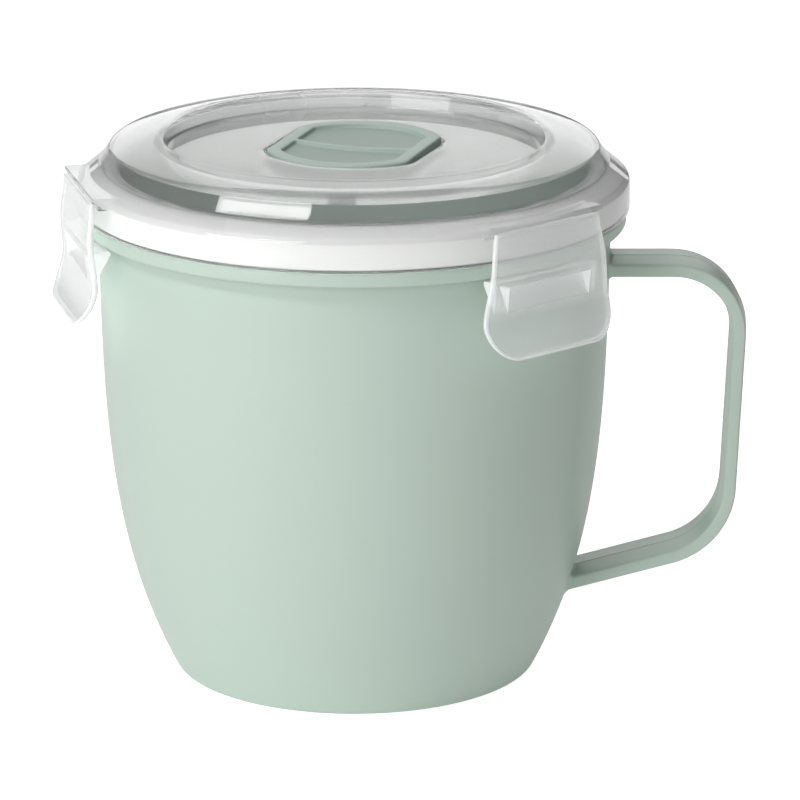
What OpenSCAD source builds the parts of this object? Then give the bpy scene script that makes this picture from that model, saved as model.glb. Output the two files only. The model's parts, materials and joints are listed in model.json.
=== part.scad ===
// Soup mug with a D handle, a clear lid held down by three clips and a steam vent in the lid.
// Millimetres. The origin is on the mug's axis at the plane of its foot, +Z up, +X towards the handle.

/* [Mug wall] */
// Height of the wall from the foot to the lower edge of the rim band
body_h = 107.6; // [95:0.1:125]
// Outer radius of the wall just under the rim band
body_r = 59.7; // [52:0.1:66]
// Draft of the straight upper wall, in degrees
wall_draft = 1; // [0.5:0.1:1.5]
// How far the wall draws in towards the foot, beyond its draft
belly_in = 15.7; // [10:0.1:20]
// How low down the wall starts to draw in
belly_power = 3.5; // [2.5:0.1:4.5]
// Thickness of the wall
wall = 2.2; // [1.6:0.1:2.8]
// Thickness of the floor
floor_t = 2.6; // [1.8:0.1:4]
// Radius of the corner inside, between floor and wall
floor_round = 6; // [3:0.5:9]
// Radius of the rounded edge at the foot
foot_round = 2.5; // [1.5:0.1:4]
// Width of the flat foot ring
foot_ring_w = 3.4; // [2:0.1:6]
// Depth of the recess inside the foot ring
foot_recess = 1.2; // [0.6:0.1:2]

/* [Mug rim] */
// How far the rim band stands out from the wall
rim_out = 3.5; // [3:0.1:4.5]
// Height of the rim band
rim_h = 4.1; // [3:0.1:6]
// Thickness of the turned-down rim band
rim_t = 1.6; // [1.2:0.1:2]
// Edge rounding of the rim band
rim_edge = 0.6; // [0.3:0.1:0.7]
// Height of the sealing lip above the rim band
lip_h = 5.6; // [4.5:0.1:6.5]

/* [Handle] */
// Width of the handle, from its front face to its back face
handle_w = 16; // [12:0.5:22]
// Thickness of the handle along its middle parting line
handle_mid_t = 3.8; // [3.4:0.1:6]
// Thickness of the handle at its front and back faces
handle_face_t = 3; // [2:0.1:3.2]
// Edge rounding of the front and back faces
handle_edge = 0.7; // [0.3:0.1:0.8]
// Height of the upper arm's centre line
handle_top_z = 97; // [85:0.5:101]
// Height at which the upright and the lower arm would cross
handle_low_z = 30.7; // [26:0.1:40]
// Distance from the mug's axis to the crossing of the upper arm and the upright
handle_reach = 90.4; // [85:0.1:105]
// Lean of the upright, in degrees
handle_lean = 2.65; // [0:0.05:5]
// Slope of the lower arm, in degrees
handle_low_slope = 15.1; // [8:0.1:20]
// Bend radius of the upper corner's centre line
handle_top_bend = 15.3; // [10:0.1:18]
// Bend radius of the lower corner's centre line
handle_low_bend = 18.3; // [12:0.1:22]

/* [Lid] */
// How far the lid's skirt stands out past the rim band
skirt_over = 0.8; // [0.4:0.1:1.5]
// Thickness of the skirt and of the sealing wall
skirt_t = 1.7; // [1.3:0.1:2]
// Thickness of the clear dome and panel
lid_t = 1.6; // [1.2:0.1:2]
// Radius of the edge between skirt and shoulder
skirt_round = 1.5; // [1:0.1:2]
// Distance from the skirt's face to the foot of the dome
shoulder_w = 4.1; // [3.6:0.1:5]
// Rise of the shoulder from the skirt's edge to the foot of the dome
shoulder_rise = 1.5; // [1:0.1:2]
// How far the dome's wall leans in
dome_in = 2.7; // [2:0.1:4]
// Rise of the dome's wall
dome_rise = 2.8; // [2:0.1:4]
// Radius of the crest round the middle panel
crest_r = 45; // [38:0.1:47]
// Rise of the crest over the top of the dome's wall
crest_rise = 3.2; // [2.4:0.1:4]
// Depth of the middle panel's edge below the crest
panel_drop = 3.7; // [3:0.1:4.2]
// Rise of the panel's crowned middle over its edge
panel_crown = 1.1; // [0.6:0.1:1.4]
// Gap between the lid's lower edge and the rim band
seat_gap = 0.3; // [0.2:0.05:0.5]
// Gap between the mug's lip and the lid's sealing wall inside it
sealing_wall_gap = 1.3; // [0.8:0.1:2]
// Depth of the sealing wall below the groove's roof
sealing_wall_h = 5.9; // [3:0.1:8]

/* [Seal] */
// Thickness of the sealing ring over the mug's lip
seal_t = 1.4; // [1:0.1:2]
// Thickness of the ring's outer leg
seal_leg = 1.5; // [1:0.1:1.7]
// Gap between the lip and the ring at rest
seal_gap = 0.2; // [0.1:0.05:0.4]
// Clearance of the ring in its groove
seal_fit = 0.05; // [0.03:0.01:0.1]

/* [Clips] */
// Turn of the back clip about the mug's axis, in degrees
lid_turn = 73; // [60:1:90]
// Angle between the two front clips, in degrees
clip_spread = 118; // [105:1:125]
// Gap between the skirt and the middle of a closed clip
clip_gap = 0.3; // [0.3:0.1:1]
// Thickness of a clip
clip_t = 1.4; // [1:0.1:1.8]
// Width of a clip at its hinge
clip_top_w = 32; // [26:0.5:36]
// Width of a clip above its lip's round corners
clip_low_w = 38.6; // [34:0.1:42]
// Height of a clip from its hinge to its lower edge
clip_h = 28.3; // [26:0.1:34]
// Distance from a clip's hinge down to its waist
clip_waist = 18.7; // [16:0.1:21]
// Corner radius of a clip's lip
clip_corner = 8; // [4:0.5:10]
// Bow of a clip between its hinge and its waist
clip_bow = 0.7; // [0.3:0.1:1.2]
// How far a clip's lip flares out
clip_flare = 4; // [2:0.1:5]
// Width of the hook
hook_w = 31; // [26:0.5:32]
// How far the hook reaches under the rim band
hook_reach = 2.2; // [1.5:0.1:2.6]
// Thickness of the hook's upper ledge
hook_ledge = 1.2; // [0.8:0.1:2]
// Height of the hook from its ledge down to the end of its slope
hook_h = 6.8; // [5:0.1:8]
// Gap between the hook and the lower edge of the rim band
hook_gap = 0.3; // [0.2:0.05:0.6]
// Thickness of the hook's sloping wall
hook_wall = 1.2; // [0.8:0.1:1.5]
// Thickness of the hook's end walls
hook_end = 3; // [1.5:0.1:4]
// Radius of the hinge bead along a clip's upper edge
bead_r = 0.8; // [0.7:0.05:1]
// Clearance round the hinge bead
bead_fit = 0.1; // [0.05:0.01:0.1]

/* [Vent] */
// Turn of the vent flap about the lid's axis, in degrees
flap_turn = -20; // [-30:0.5:30]
// Radius of the flap's round sides
flap_r = 20.9; // [18:0.1:22.5]
// Distance between the flap's flat sides
flap_flats = 34.7; // [28:0.1:36]
// Radius of the flap's corners, seen from above
flap_corner = 2.5; // [1:0.1:4]
// Height of the flap's front edge above the panel
flap_front = 0.1; // [0:0.05:0.4]
// Tilt of the flap's face, which rises towards its hinge, in degrees
flap_tilt = 1.5; // [0:0.1:2]
// Width of the flap's rim
flap_rim = 3.4; // [2.5:0.1:4]
// Depth of the flap's two hollows
flap_hollow = 1; // [0.6:0.1:1.1]
// Radius of the hollows' corners
hollow_corner = 1.6; // [0.8:0.1:2.5]
// Width of the bar between the hollows
bar_w = 1.2; // [1:0.1:2]
// Offset of the bar's middle from the flap's centre
bar_offset = -3.1; // [-4:0.1:0]
// Radius of the bar's curve
bar_curve = 48; // [40:1:90]
// Depth of the pocket that holds the flap
flap_pocket = 2; // [1.8:0.1:2.2]
// Side clearance of the flap's round sides in the pocket
flap_fit = 0.4; // [0.3:0.05:0.6]
// Finger gap at each flat side of the flap
finger_gap = 0.8; // [0.5:0.1:2]
// Radius of the flap's hinge pin
pin_r = 0.5; // [0.45:0.05:0.6]
// Running clearance of the hinge pin
pin_fit = 0.06; // [0.03:0.01:0.1]
// Width of the flap's hinge tongue
tongue_w = 10; // [8:0.5:14]
// How far the hinge pin reaches into the panel at each end
pin_end = 2; // [1.5:0.1:3]
// Distance from the flap's round side to its hinge pin
pin_behind = 1.7; // [1.5:0.1:2.2]
// Radius of the steam hole
steam_r = 3.3; // [2.5:0.1:4]
// Distance of the steam hole from the flap's centre, away from the hinge
steam_offset = 8; // [7:0.5:11]
// Radial clearance of the plug in the steam hole
plug_fit = 0.3; // [0.2:0.05:0.5]
// Radius of the plug's head
plug_head_r = 4.2; // [3.8:0.1:5]
// Thickness of the plug's head
plug_head_t = 0.8; // [0.6:0.1:1]

/* [Hidden] */
$fn = 96;
eps = 0.01;

mint = [0.66, 0.78, 0.70];
clear = [0.90, 0.92, 0.92, 0.5];
white = [0.96, 0.96, 0.95];

wall_steps = 20;
round_steps = 6;
bend_steps = 12;
edge_steps = 3;

// Mug wall and rim
function wall_r(z) =
    body_r - (body_h - z) * tan(wall_draft) - belly_in * pow(1 - z / body_h, belly_power);
function wall_slope(z) =
    tan(wall_draft) + belly_in * belly_power / body_h * pow(1 - z / body_h, belly_power - 1);
foot_tilt = atan(wall_slope(foot_round / 2));
foot_top = foot_round * (1 - sin(foot_tilt));
foot_r = wall_r(foot_top) - foot_round * cos(foot_tilt);
floor_z = foot_recess + floor_t;
floor_tilt = atan(wall_slope(floor_z + floor_round / 2));
floor_top = floor_z + floor_round * (1 - sin(floor_tilt));
floor_r = wall_r(floor_top) - wall - floor_round * cos(floor_tilt);
rim_r = body_r + rim_out;
rim_top = body_h + rim_h;
lip_top = rim_top + lip_h;
lip_round = wall / 2;

// Handle centre line
upper_turn = 90 + handle_lean;
lower_turn = 90 - handle_lean - handle_low_slope;
upper_tangent = handle_top_bend * tan(upper_turn / 2);
lower_tangent = handle_low_bend * tan(lower_turn / 2);
upper_corner = [handle_reach, handle_top_z];
lower_corner = [handle_reach - (handle_top_z - handle_low_z) * tan(handle_lean), handle_low_z];
lower_way = [-cos(handle_low_slope), -sin(handle_low_slope)];
lower_run = (lower_corner.x - foot_r) / cos(handle_low_slope);

// Groove for the sealing ring, between the skirt and the sealing wall
lid_r = rim_r + skirt_over;
lid_z = rim_top + seat_gap;
groove_out = lid_r - skirt_t;
groove_z = lip_top + seal_gap + seal_t;
groove_in = body_r - wall - sealing_wall_gap;
sealing_wall_in = groove_in - skirt_t;
sealing_wall_low = groove_z - sealing_wall_h;
sealing_wall_edge = 0.5;
leg_lift = 0.3;

// Lid outline, from the skirt's edge up to the panel
shoulder_z = groove_z + lid_t;
edge_z = shoulder_z - skirt_round;
skirt_turn = 75;
dome_r = lid_r - shoulder_w;
dome_z = shoulder_z + shoulder_rise;
ring_r = dome_r - dome_in;
ring_z = dome_z + dome_rise;
ring_corner = [-1.2, 0.9];
ring_end = [-3.4, 1.4];
crest_z = ring_z + crest_rise;
crest_start = [1.2, -0.2];
crest_corner = [0, 0.2];
crest_end = [-0.8, -0.5];
crest_w = 1.4;
panel_z = crest_z - panel_drop;
panel_r = crest_r - crest_w;
panel_round = 0.7;
crown_r = panel_r - panel_round;
crown_steps = 8;

// Height of the crowned panel at the distance r from the lid's axis
function panel_top(r) = panel_z + panel_crown * (1 - pow(r / crown_r, 2));

// Lid inside: the dome's inner side and the gutter round it
dome_inset = lid_t * sqrt(0.5);
gutter_z = groove_z + lid_t;
gutter_r = ring_r - dome_inset + dome_in * (ring_z - dome_inset - gutter_z) / dome_rise;

// Clips and the tabs that carry them
clip_turns = [lid_turn - 180 + clip_spread / 2, lid_turn + 180 - clip_spread / 2, lid_turn];
hinge_n = lid_r + clip_gap + clip_t / 2;
hinge_z = edge_z - bead_r;
clip_low = hinge_z - clip_h;
clip_in = hinge_n - clip_t / 2;
hook_top = body_h - hook_gap;
hook_low = hook_top - hook_h;
hook_tip = rim_r - hook_reach;
tip_drop = 0.7;
tip_lead = 0.2;
plate_steps = 16;
tab_side = 1;
tab_w = clip_top_w + 2 * tab_side;
tab_gap = 0.3;
tab_over = 0.2;
tab_under = 0.55;
tab_nose = 0.95;
tab_slope = 1.4;

// Vent: the flap, its hinge pin, the pocket and the thick middle of the panel below it
flap_edge = [-flap_r, panel_top(flap_r) + flap_front];
pocket_z = panel_top(flap_r) - flap_pocket;
flap_rest = 0.2;
flap_low = pocket_z + flap_rest;
flap_block = flap_edge.y + 2 * flap_r * tan(flap_tilt) + flap_rest - flap_low;
knuckle_wall = 0.3;
knuckle_r = pin_r + knuckle_wall;
flap_axis = [flap_r + pin_behind, flap_low + knuckle_r];
hinge_gap = 0.3;
pin_length = tongue_w + 2 * (hinge_gap + pin_end);
boss_margin = 2.5;
boss_r = flap_axis.x + boss_margin;
boss_t = 1.1;
boss_z = pocket_z - boss_t;
stem_r = steam_r - plug_fit;
stem_straight = 1.2;
stem_taper = 0.8;
stem_below = 1;

// Points along an arc from angle a0 to a1
function arc(c, r, a0, a1, steps = round_steps) =
    [for (i = [0:steps]) let (a = a0 + (a1 - a0) * i / steps) c + r * [cos(a), sin(a)]];

// Points along a curve from p to q, drawn towards the corner c
function blend(p, c, q) =
    [for (i = [0:round_steps]) let (t = i / round_steps)
        (1 - t) * (1 - t) * p + 2 * t * (1 - t) * c + t * t * q];

// Half section of the mug: foot, wall, turned-down rim band, sealing lip and inside
function mug_section() = concat(
    [[0, foot_recess], [foot_r - foot_ring_w, foot_recess], [foot_r - foot_ring_w, 0]],
    arc([foot_r, foot_round], foot_round, -90, -foot_tilt),
    [for (i = [1:wall_steps]) let (z = foot_top + (body_h - foot_top) * i / wall_steps) [wall_r(z), z]],
    [[body_r, rim_top - rim_t], [rim_r - rim_t, rim_top - rim_t], [rim_r - rim_t, body_h]],
    arc([rim_r - rim_edge, body_h + rim_edge], rim_edge, -90, 0),
    arc([rim_r - rim_edge, rim_top - rim_edge], rim_edge, 0, 90),
    [[body_r, rim_top]],
    arc([body_r - lip_round, lip_top - lip_round], lip_round, 0, 180),
    [for (i = [0:wall_steps - 1]) let (z = body_h - (body_h - floor_top) * i / wall_steps)
        [wall_r(z) - wall, z]],
    arc([floor_r, floor_z + floor_round], floor_round, -floor_tilt, -90),
    [[0, floor_z]]
);

// Cross-section of the handle: thickest along its parting line, with rounded faces
function handle_section() =
    let (side_x = handle_face_t / 2 - handle_edge, side_y = handle_w / 2 - handle_edge)
    concat(
        [[handle_mid_t / 2, 0]],
        arc([side_x, side_y], handle_edge, 0, 90, edge_steps),
        arc([-side_x, side_y], handle_edge, 90, 180, edge_steps),
        [[-handle_mid_t / 2, 0]],
        arc([-side_x, -side_y], handle_edge, 180, 270, edge_steps),
        arc([side_x, -side_y], handle_edge, 270, 360, edge_steps)
    );

// Stations along a bend about the centre c: place on the centre line and angle of the outer side
function bend(c, radius, a0, a1) =
    [for (i = [0:bend_steps]) let (a = a0 + (a1 - a0) * i / bend_steps)
        [c.x + radius * cos(a), c.y + radius * sin(a), a]];

// Stations along the whole handle, with both ends running on into the mug
function handle_stations() =
    let (
        upper_centre = upper_corner - [upper_tangent, handle_top_bend],
        lower_start = lower_corner + lower_tangent * lower_way,
        lower_centre = lower_start + handle_low_bend * [-sin(handle_low_slope), cos(handle_low_slope)],
        lower_end = lower_corner + lower_run * lower_way,
        lower_side = handle_low_slope - 90
    )
    concat(
        [[foot_r, handle_top_z, 90]],
        bend(upper_centre, handle_top_bend, 90, -handle_lean),
        bend(lower_centre, handle_low_bend, -handle_lean, lower_side),
        [[lower_end.x, lower_end.y, lower_side]]
    );

// The handle: its cross-section swept along the stations
module handle() {
    section = handle_section();
    stations = handle_stations();
    count = len(section);
    last = len(stations) - 1;
    points = [for (s = stations) for (q = section) [s[0] + q.x * cos(s[2]), q.y, s[1] + q.x * sin(s[2])]];
    sides = [for (k = [0:last - 1]) for (i = [0:count - 1])
        [k * count + (i + 1) % count, (k + 1) * count + (i + 1) % count, (k + 1) * count + i, k * count + i]];
    start_face = [for (i = [0:count - 1]) count - 1 - i];
    end_face = [for (i = [0:count - 1]) last * count + i];
    polyhedron(points, concat([start_face, end_face], sides));
}

// Solid inside the middle of the wall, which trims the handle's ends
module wall_core() {
    rotate_extrude()
        polygon(concat(
            [[0, 0]],
            [for (i = [0:wall_steps]) let (z = body_h * i / wall_steps) [wall_r(z) - wall / 2, z]],
            [[0, body_h]]
        ));
}

module mug_body() {
    color(mint) {
        rotate_extrude()
            polygon(mug_section());
        difference() {
            handle();
            wall_core();
        }
    }
}

// Half section of the lid: skirt, shoulder, dome, crest, panel, sealing wall and groove
function lid_section() =
    let (
        ring = [ring_r, ring_z],
        crest = [crest_r, crest_z],
        panel = [panel_r, panel_z]
    )
    concat(
        [[groove_out, lid_z], [lid_r, lid_z]],
        arc([lid_r - skirt_round, edge_z], skirt_round, 0, skirt_turn),
        [[dome_r, dome_z]],
        blend(ring, ring + ring_corner, ring + ring_end),
        blend(crest + crest_start, crest + crest_corner, crest + crest_end),
        blend(panel + [0, panel_round], panel, panel - [panel_round, 0]),
        [for (i = [crown_steps - 1:-1:0]) let (r = crown_r * i / crown_steps) [r, panel_top(r)]],
        [[0, boss_z], [boss_r, boss_z]],
        [[panel_r + lid_t / 2, panel_z - lid_t], crest - [0, lid_t] + [crest_start.x, crest_end.y]],
        [ring + ring_end - [0, lid_t], ring - [dome_inset, dome_inset], [gutter_r, gutter_z]],
        [[sealing_wall_in, gutter_z], [sealing_wall_in, sealing_wall_low + sealing_wall_edge]],
        [[sealing_wall_in + sealing_wall_edge, sealing_wall_low]],
        [[groove_in - sealing_wall_edge, sealing_wall_low]],
        [[groove_in, sealing_wall_low + sealing_wall_edge], [groove_in, groove_z], [groove_out, groove_z]]
    );

// Tab on the skirt that carries a clip's hinge, with its round seat for the bead
module hinge_tab() {
    difference() {
        rotate([90, 0, 0])
            linear_extrude(tab_w, center = true)
                polygon([
                    [dome_r, hinge_z - bead_r],
                    [clip_in - tab_gap, hinge_z - bead_r],
                    [clip_in - tab_gap, hinge_z],
                    [hinge_n + tab_over, edge_z + tab_under],
                    [hinge_n + tab_over / 2, edge_z + tab_nose],
                    [hinge_n - tab_slope, shoulder_z - tab_gap],
                    [dome_r, shoulder_z - tab_gap]
                ]);
        translate([hinge_n, 0, hinge_z])
            rotate([90, 0, 0])
                cylinder(r = bead_r + bead_fit, h = tab_w + eps, center = true);
    }
}

// Turns a piece of the vent about the lid's axis to its place
module at_flap() {
    rotate([0, 0, flap_turn])
        children();
}

// Rounds the corners of an outline to the radius r
module rounded(r) {
    offset(r = r)
        offset(delta = -r)
            children();
}

// Outline of the flap seen from above, its round sides at r and its flat sides w apart
module flap_outline(r, w) {
    intersection() {
        circle(r);
        square([w, 3 * r], center = true);
    }
}

// Outline of the flap's pocket, with the notch for the hinge tongue behind it
module pocket_outline() {
    notch_w = tongue_w + 2 * hinge_gap;
    rounded(flap_corner)
        flap_outline(flap_r + flap_fit, flap_flats + 2 * finger_gap);
    translate([-notch_w / 2, 0])
        square([notch_w, flap_axis.x + knuckle_r + hinge_gap]);
}

module lid_shell() {
    color(clear)
        difference() {
            union() {
                rotate_extrude()
                    polygon(lid_section());
                difference() {
                    for (turn = clip_turns)
                        rotate([0, 0, turn])
                            hinge_tab();
                    cylinder(r = lid_r - skirt_t / 2, h = crest_z);
                }
            }
            at_flap() {
                translate([0, 0, pocket_z])
                    linear_extrude(flap_pocket + panel_crown)
                        pocket_outline();
                translate([0, -steam_offset, boss_z - eps])
                    cylinder(r = steam_r, h = boss_t + flap_pocket);
                translate([0, flap_axis.x, flap_axis.y])
                    rotate([0, 90, 0])
                        cylinder(r = pin_r + pin_fit, h = pin_length + 2 * hinge_gap, center = true);
            }
        }
}

// Sealing ring: a flat ring over the mug's lip, with a leg inside the skirt
module lid_gasket() {
    ring_in = groove_in + seal_fit;
    ring_out = groove_out - seal_fit;
    leg_low = lid_z + leg_lift;
    color(white)
        rotate_extrude()
            polygon([
                [ring_in, groove_z - seal_t],
                [ring_out - seal_leg, groove_z - seal_t],
                [ring_out - seal_leg, leg_low],
                [ring_out, leg_low],
                [ring_out, groove_z],
                [ring_in, groove_z]
            ]);
}

// How far a clip's middle surface stands out from its hinge at depth d below it
function clip_out(d) = d < clip_waist
    ? clip_bow * sin(180 * d / clip_waist)
    : clip_flare * pow((d - clip_waist) / (clip_h - clip_waist), 1.5);

// Side section of a clip's plate: bowed down to its waist, then flared out to its lip
module plate_section() {
    depths = [for (i = [0:plate_steps]) clip_h * i / plate_steps];
    outer = [for (d = depths) [clip_in + clip_t + clip_out(d), hinge_z - d]];
    inner = [for (i = [plate_steps:-1:0]) [clip_in + clip_out(depths[i]), hinge_z - depths[i]]];
    polygon(concat(outer, inner));
}

// Side section of a clip's hook: a ledge under the rim band that slopes back to the plate
module hook_section() {
    polygon([
        [hinge_n, hook_top],
        [hook_tip, hook_top],
        [hook_tip - tip_lead, hook_top - tip_drop],
        [clip_in, hook_low],
        [hinge_n, hook_low]
    ]);
}

// Side section of the hollow behind the hook's ledge and slope
module pocket_section() {
    slope = (clip_in - hook_tip) / (hook_h - tip_drop);
    pocket_top = hook_top - hook_ledge;
    pocket_in = hook_tip + hook_wall + slope * (hook_ledge - tip_drop);
    pocket_out = hinge_n + clip_t + clip_bow;
    polygon([
        [pocket_in, pocket_top],
        [pocket_in + slope * (pocket_top - hook_low), hook_low],
        [pocket_out, hook_low],
        [pocket_out, pocket_top]
    ]);
}

// Front outline of a clip: narrow at its hinge, with round corners at its lip
module clip_front_view() {
    low_x = clip_low_w / 2 - clip_corner;
    polygon(concat(
        arc([-low_x, clip_low + clip_corner], clip_corner, 180, 270),
        arc([low_x, clip_low + clip_corner], clip_corner, 270, 360),
        [[clip_top_w / 2, hinge_z], [-clip_top_w / 2, hinge_z]]
    ));
}

// One clip, closed, turned about the lid's axis
module clip(turn) {
    color(clear)
        rotate([0, 0, turn]) {
            difference() {
                union() {
                    intersection() {
                        rotate([90, 0, 0])
                            linear_extrude(2 * clip_low_w, center = true)
                                plate_section();
                        rotate([90, 0, 90])
                            linear_extrude(2 * hinge_n)
                                clip_front_view();
                    }
                    rotate([90, 0, 0])
                        linear_extrude(hook_w, center = true)
                            hook_section();
                }
                rotate([90, 0, 0])
                    linear_extrude(hook_w - 2 * hook_end, center = true)
                        pocket_section();
            }
            translate([hinge_n, 0, hinge_z])
                rotate([90, 0, 0])
                    cylinder(r = bead_r, h = clip_top_w, center = true);
        }
}

module clip_front() {
    clip(clip_turns[0]);
}

module clip_left() {
    clip(clip_turns[1]);
}

module clip_back() {
    clip(clip_turns[2]);
}

// Two hollows in the flap's face, parted by the curved bar
module flap_hollows() {
    rounded(hollow_corner)
        difference() {
            flap_outline(flap_r - flap_rim, flap_flats - 2 * flap_rim);
            translate([0, bar_offset + bar_curve])
                difference() {
                    circle(bar_curve + bar_w / 2);
                    circle(bar_curve - bar_w / 2);
                }
        }
}

// Puts a piece drawn on a level face on the flap's tilted face
module on_face() {
    translate([0, flap_edge.x, flap_edge.y])
        rotate([flap_tilt, 0, 0])
            translate([0, -flap_edge.x, 0])
                children();
}

module vent_flap() {
    color(mint)
        at_flap() {
            difference() {
                union() {
                    difference() {
                        translate([0, 0, flap_low])
                            linear_extrude(flap_block)
                                rounded(flap_corner)
                                    flap_outline(flap_r, flap_flats);
                        on_face()
                            linear_extrude(flap_r)
                                square(3 * flap_r, center = true);
                    }
                    translate([-tongue_w / 2, flap_r - flap_rim, flap_low])
                        cube([tongue_w, flap_axis.x - flap_r + flap_rim, 2 * knuckle_r]);
                    translate([0, flap_axis.x, flap_axis.y])
                        rotate([0, 90, 0])
                            cylinder(r = knuckle_r, h = tongue_w, center = true);
                }
                on_face()
                    translate([0, 0, -flap_hollow])
                        linear_extrude(flap_hollow + eps)
                            flap_hollows();
                translate([0, -steam_offset, flap_low - eps])
                    cylinder(r = plug_head_r + seal_fit, h = plug_head_t + eps);
            }
            translate([0, flap_axis.x, flap_axis.y])
                rotate([0, 90, 0])
                    cylinder(r = pin_r, h = pin_length, center = true);
        }
}

// Soft plug in the flap's underside, which closes the steam hole
module vent_plug() {
    head_top = flap_low + plug_head_t;
    stem_low = boss_z - stem_below;
    color(white)
        at_flap()
            translate([0, -steam_offset, 0])
                rotate_extrude()
                    polygon([
                        [0, stem_low],
                        [stem_r - stem_taper, stem_low],
                        [stem_r, pocket_z - stem_straight],
                        [stem_r, flap_low],
                        [plug_head_r, flap_low],
                        [plug_head_r, head_top],
                        [0, head_top]
                    ]);
}

mug_body();
lid_shell();
lid_gasket();
clip_front();
clip_left();
clip_back();
vent_flap();
vent_plug();
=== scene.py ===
"""A soup mug with a clip-down lid: smooth mouldings, plastic finishes, studio light and camera.

Lengths are in metres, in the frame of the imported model. The origin is on the mug's axis in the plane of
its foot, +Z is up and +X points to the handle.
"""

from __future__ import annotations

import json
import logging
import math
from dataclasses import dataclass
from enum import Enum
from typing import Any, Iterable, Mapping, Sequence, Union

import bmesh
import bpy
from mathutils import Matrix, Vector

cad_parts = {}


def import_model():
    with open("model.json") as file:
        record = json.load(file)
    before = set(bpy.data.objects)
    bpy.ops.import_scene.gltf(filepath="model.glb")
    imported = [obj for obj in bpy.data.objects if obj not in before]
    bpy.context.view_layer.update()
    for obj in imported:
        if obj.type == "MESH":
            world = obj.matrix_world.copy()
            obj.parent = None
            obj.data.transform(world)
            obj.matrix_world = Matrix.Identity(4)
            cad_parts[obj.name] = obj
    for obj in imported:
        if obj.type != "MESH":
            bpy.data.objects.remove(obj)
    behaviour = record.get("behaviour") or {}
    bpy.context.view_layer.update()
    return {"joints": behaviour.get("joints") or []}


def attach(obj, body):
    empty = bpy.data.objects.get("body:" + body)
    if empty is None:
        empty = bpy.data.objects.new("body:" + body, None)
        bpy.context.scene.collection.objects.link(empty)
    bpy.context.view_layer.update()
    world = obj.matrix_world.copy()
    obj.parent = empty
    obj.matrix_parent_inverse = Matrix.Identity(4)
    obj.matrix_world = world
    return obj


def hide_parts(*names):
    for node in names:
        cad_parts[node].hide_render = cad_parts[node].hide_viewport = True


LOG = logging.getLogger("soup_mug")
MM = 0.001
# How far a tool solid reaches past the face that it cuts.
SPARE = 1.0 * MM

Rgb = tuple[float, float, float]
Feed = Union[float, Sequence[float], bpy.types.NodeSocket, "Term"]


class Join(Enum):
    """How one solid is worked into another."""

    ADD = "UNION"
    CUT = "DIFFERENCE"


@dataclass(frozen=True)
class Corner:
    """A corner of an outline at (x, y), rounded off by the radius r."""

    x: float
    y: float
    r: float = 0.0

    @property
    def place(self) -> Vector:
        """The corner's place before it is rounded."""
        return Vector((self.x, self.y))


def turned(arrow: Vector, angle: float) -> Vector:
    """Turn a 2-D vector anticlockwise by an angle in radians."""
    cos, sin = math.cos(angle), math.sin(angle)
    return Vector((arrow.x * cos - arrow.y * sin, arrow.x * sin + arrow.y * cos))


def circle(radius: float, centre: Vector, chords: int = 48) -> list[Vector]:
    """Draw a circle."""
    return [centre + turned(Vector((radius, 0.0)), math.tau * step / chords) for step in range(chords)]


def square(half: float) -> list[Vector]:
    """Draw a square about the origin."""
    return [Vector((x * half, y * half)) for x, y in ((-1, -1), (1, -1), (1, 1), (-1, 1))]


def rounded(corners: Sequence[Corner], steps: int = 5) -> list[Vector]:
    """Round off the corners of a closed outline.

    Args:
        corners: The outline's corners in order.
        steps: Number of chords in each round.

    Returns:
        The points of the outline.
    """
    most = 0.49
    points: list[Vector] = []
    for index, corner in enumerate(corners):
        here = corner.place
        if corner.r <= 0:
            points.append(here)
            continue
        back = corners[index - 1].place - here
        ahead = corners[(index + 1) % len(corners)].place - here
        half = back.angle(ahead) / 2
        reach = min(corner.r / math.tan(half), most * back.length, most * ahead.length)
        middle = (back.normalized() + ahead.normalized()).normalized()
        centre = here + middle * reach / math.cos(half)
        first = here + back.normalized() * reach - centre
        last = here + ahead.normalized() * reach - centre
        sweep = math.atan2(first.x * last.y - first.y * last.x, first.dot(last))
        points += [centre + turned(first, sweep * step / steps) for step in range(steps + 1)]
    return points


def curve(start: Vector, corner: Vector, end: Vector, steps: int = 8) -> list[Corner]:
    """Draw a curve from start to end that leans towards a corner.

    Args:
        start: First point.
        corner: The point that both ends aim at.
        end: Last point.
        steps: Number of chords.

    Returns:
        The curve's points as sharp corners of an outline.
    """
    points = []
    for step in range(steps + 1):
        t = step / steps
        point = (1 - t) ** 2 * start + 2 * t * (1 - t) * corner + t * t * end
        points.append(Corner(point.x, point.y))
    return points


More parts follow.
